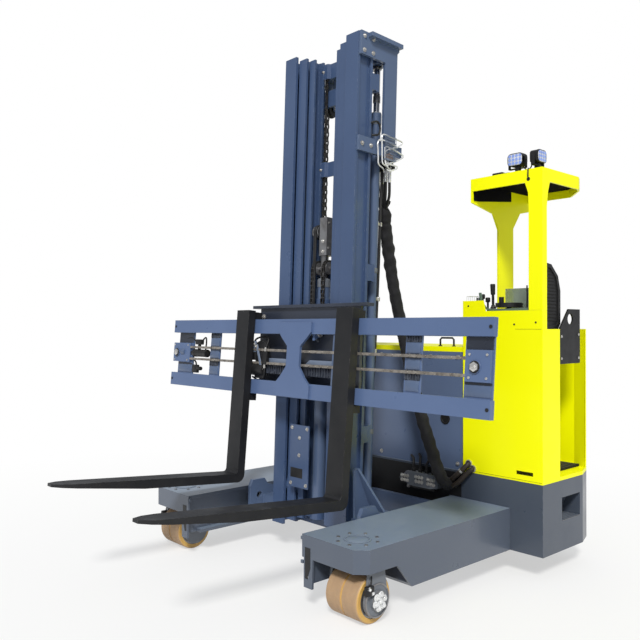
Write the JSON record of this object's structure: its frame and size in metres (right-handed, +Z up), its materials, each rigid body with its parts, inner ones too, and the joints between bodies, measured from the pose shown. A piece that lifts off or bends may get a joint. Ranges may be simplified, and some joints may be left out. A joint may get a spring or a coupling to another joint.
{
  "type": "multidirectional forklift",
  "caption": "Stand-on multidirectional reach forklift with wide fork frame, three-stage mast, outrigger legs with steered twin wheels and a rear operator cabin.",
  "frame": {"origin": "On the floor under the centre of the whole outline, wheels standing on Z = 0.", "axes": "Z up, forks point along -Y, the operator cabin is on the +X side at the rear, X across the truck."},
  "size_m": [2.62, 2.5818, 2.98],
  "materials": {
    "slate_paint": "gloss slate blue-grey paint",
    "yellow_paint": "gloss lemon yellow paint",
    "fork_steel": "black painted forged steel",
    "bare_steel": "machined steel",
    "polyurethane": "tan polyurethane tread",
    "black_plastic": "black moulded plastic",
    "rubber": "black fabric and rubber",
    "grey_paint": "mid grey paint",
    "screen_plastic": "grey translucent sheet"
  },
  "bodies": {
    "truck": {"chassis": "slate_paint", "leg_left": "slate_paint", "leg_right": "slate_paint", "battery_box": "slate_paint", "battery_block": "black_plastic", "cabin_body": "yellow_paint", "floor_mat": "rubber", "console": "grey_paint", "overhead_guard": "yellow_paint", "guard_foot": "yellow_paint", "work_lamp_front": "black_plastic", "work_lamp_side": "black_plastic", "side_pad": "black_plastic", "arm_plate": "black_plastic", "wind_screen": "screen_plastic", "steering_knob": "black_plastic", "control_levers": "black_plastic", "caster_mount": "slate_paint", "reach_barrel": "slate_paint", "valve_block": "bare_steel", "roof_liner": "black_plastic"},
    "battery_cover": {"battery_lid": "yellow_paint", "lid_handle": "black_plastic"},
    "steer_left": {"knuckle_left": "grey_paint"},
    "steer_right": {"knuckle_right": "grey_paint"},
    "front_wheel_left": {"front_tyre_left": "polyurethane", "front_hub_left": "bare_steel"},
    "front_wheel_right": {"front_tyre_right": "polyurethane", "front_hub_right": "bare_steel"},
    "drive_turntable": {"drive_unit": "black_plastic"},
    "drive_wheel": {"drive_tyre": "polyurethane", "drive_hub": "bare_steel"},
    "caster": {"caster_fork": "grey_paint"},
    "caster_wheel": {"caster_tyre": "polyurethane", "caster_hub": "bare_steel"},
    "reach_mast": {"reach_carriage": "slate_paint", "reach_rod": "bare_steel", "outer_mast": "slate_paint", "outer_rail_left": "slate_paint", "outer_rail_right": "slate_paint", "hose_bracket": "slate_paint", "lift_barrel_left": "slate_paint", "lift_barrel_right": "slate_paint", "hose_sleeve": "rubber"},
    "middle_mast": {"mid_mast": "slate_paint", "lift_rod_left": "bare_steel", "lift_rod_right": "bare_steel", "stage_chain_left": "bare_steel", "stage_chain_right": "bare_steel"},
    "inner_stage": {"inner_mast": "slate_paint", "free_barrel": "slate_paint"},
    "crosshead": {"free_crosshead": "bare_steel"},
    "carriage": {"lift_carriage": "slate_paint"},
    "tilt_frame": {"fork_frame": "slate_paint", "frame_chain_upper": "bare_steel", "frame_chain_lower": "bare_steel", "spread_motor": "black_plastic"},
    "left_fork": {"fork_left": "fork_steel"},
    "right_fork": {"fork_right": "fork_steel"}
  },
  "joints": [
    {"name": "mast_reach", "type": "slide", "parent": "truck", "child": "reach_mast", "axis": [0, -1, 0], "range_m": [0, 0.55]},
    {"name": "mid_lift", "type": "slide", "parent": "reach_mast", "child": "middle_mast", "axis": [0, 0.0365, 0.9993], "range_m": [0, 2]},
    {"name": "inner_lift", "type": "slide", "parent": "middle_mast", "child": "inner_stage", "axis": [0, 0.0365, 0.9993], "range_m": [0, 2]},
    {"name": "free_lift", "type": "slide", "parent": "inner_stage", "child": "crosshead", "axis": [0, 0.0365, 0.9993], "range_m": [0, 0.675]},
    {"name": "carriage_lift", "type": "slide", "parent": "inner_stage", "child": "carriage", "axis": [0, 0.0365, 0.9993], "range_m": [0, 1.35]},
    {"name": "frame_tilt", "type": "hinge", "parent": "carriage", "child": "tilt_frame", "pos_m": [0, -0.01423, 1.30172], "axis": [1, 0, 0], "range_deg": [0, 6]},
    {"name": "fork_spread_left", "type": "slide", "parent": "tilt_frame", "child": "left_fork", "axis": [1, 0, 0], "range_m": [-0.58, 0.19]},
    {"name": "fork_spread_right", "type": "slide", "parent": "tilt_frame", "child": "right_fork", "axis": [1, 0, 0], "range_m": [-0.19, 0.58]},
    {"name": "lid_hinge", "type": "hinge", "parent": "truck", "child": "battery_cover", "pos_m": [-0.25, 1.25031, 1.225], "axis": [-1, 0, 0], "range_deg": [0, 75]},
    {"name": "steer_left", "type": "hinge", "parent": "truck", "child": "steer_left", "pos_m": [-0.745, -0.32469, 0.112], "axis": [0, 0, 1], "range_deg": [-90, 0]},
    {"name": "steer_right", "type": "hinge", "parent": "truck", "child": "steer_right", "pos_m": [0.745, -0.32469, 0.112], "axis": [0, 0, 1], "range_deg": [0, 90]},
    {"name": "roll_left", "type": "hinge", "parent": "steer_left", "child": "front_wheel_left", "pos_m": [-0.745, -0.32469, 0.112], "axis": [1, 0, 0], "continuous": true},
    {"name": "roll_right", "type": "hinge", "parent": "steer_right", "child": "front_wheel_right", "pos_m": [0.745, -0.32469, 0.112], "axis": [1, 0, 0], "continuous": true},
    {"name": "drive_steer", "type": "hinge", "parent": "truck", "child": "drive_turntable", "pos_m": [-0.45, 0.99031, 0.1715], "axis": [0, 0, 1], "range_deg": [-90, 90]},
    {"name": "drive_roll", "type": "hinge", "parent": "drive_turntable", "child": "drive_wheel", "pos_m": [-0.45, 0.99031, 0.1715], "axis": [1, 0, 0], "continuous": true},
    {"name": "caster_swivel", "type": "hinge", "parent": "truck", "child": "caster", "pos_m": [0.62, 0.97031, 0.1], "axis": [0, 0, 1], "continuous": true},
    {"name": "caster_roll", "type": "hinge", "parent": "caster", "child": "caster_wheel", "pos_m": [0.62, 1.02031, 0.1], "axis": [1, 0, 0], "continuous": true}
  ],
  "couplings": [
    {"joint": "inner_lift", "follows": "mid_lift", "ratio": 1},
    {"joint": "free_lift", "follows": "carriage_lift", "ratio": 0.5},
    {"joint": "fork_spread_left", "follows": "fork_spread_right", "ratio": -1}
  ]
}
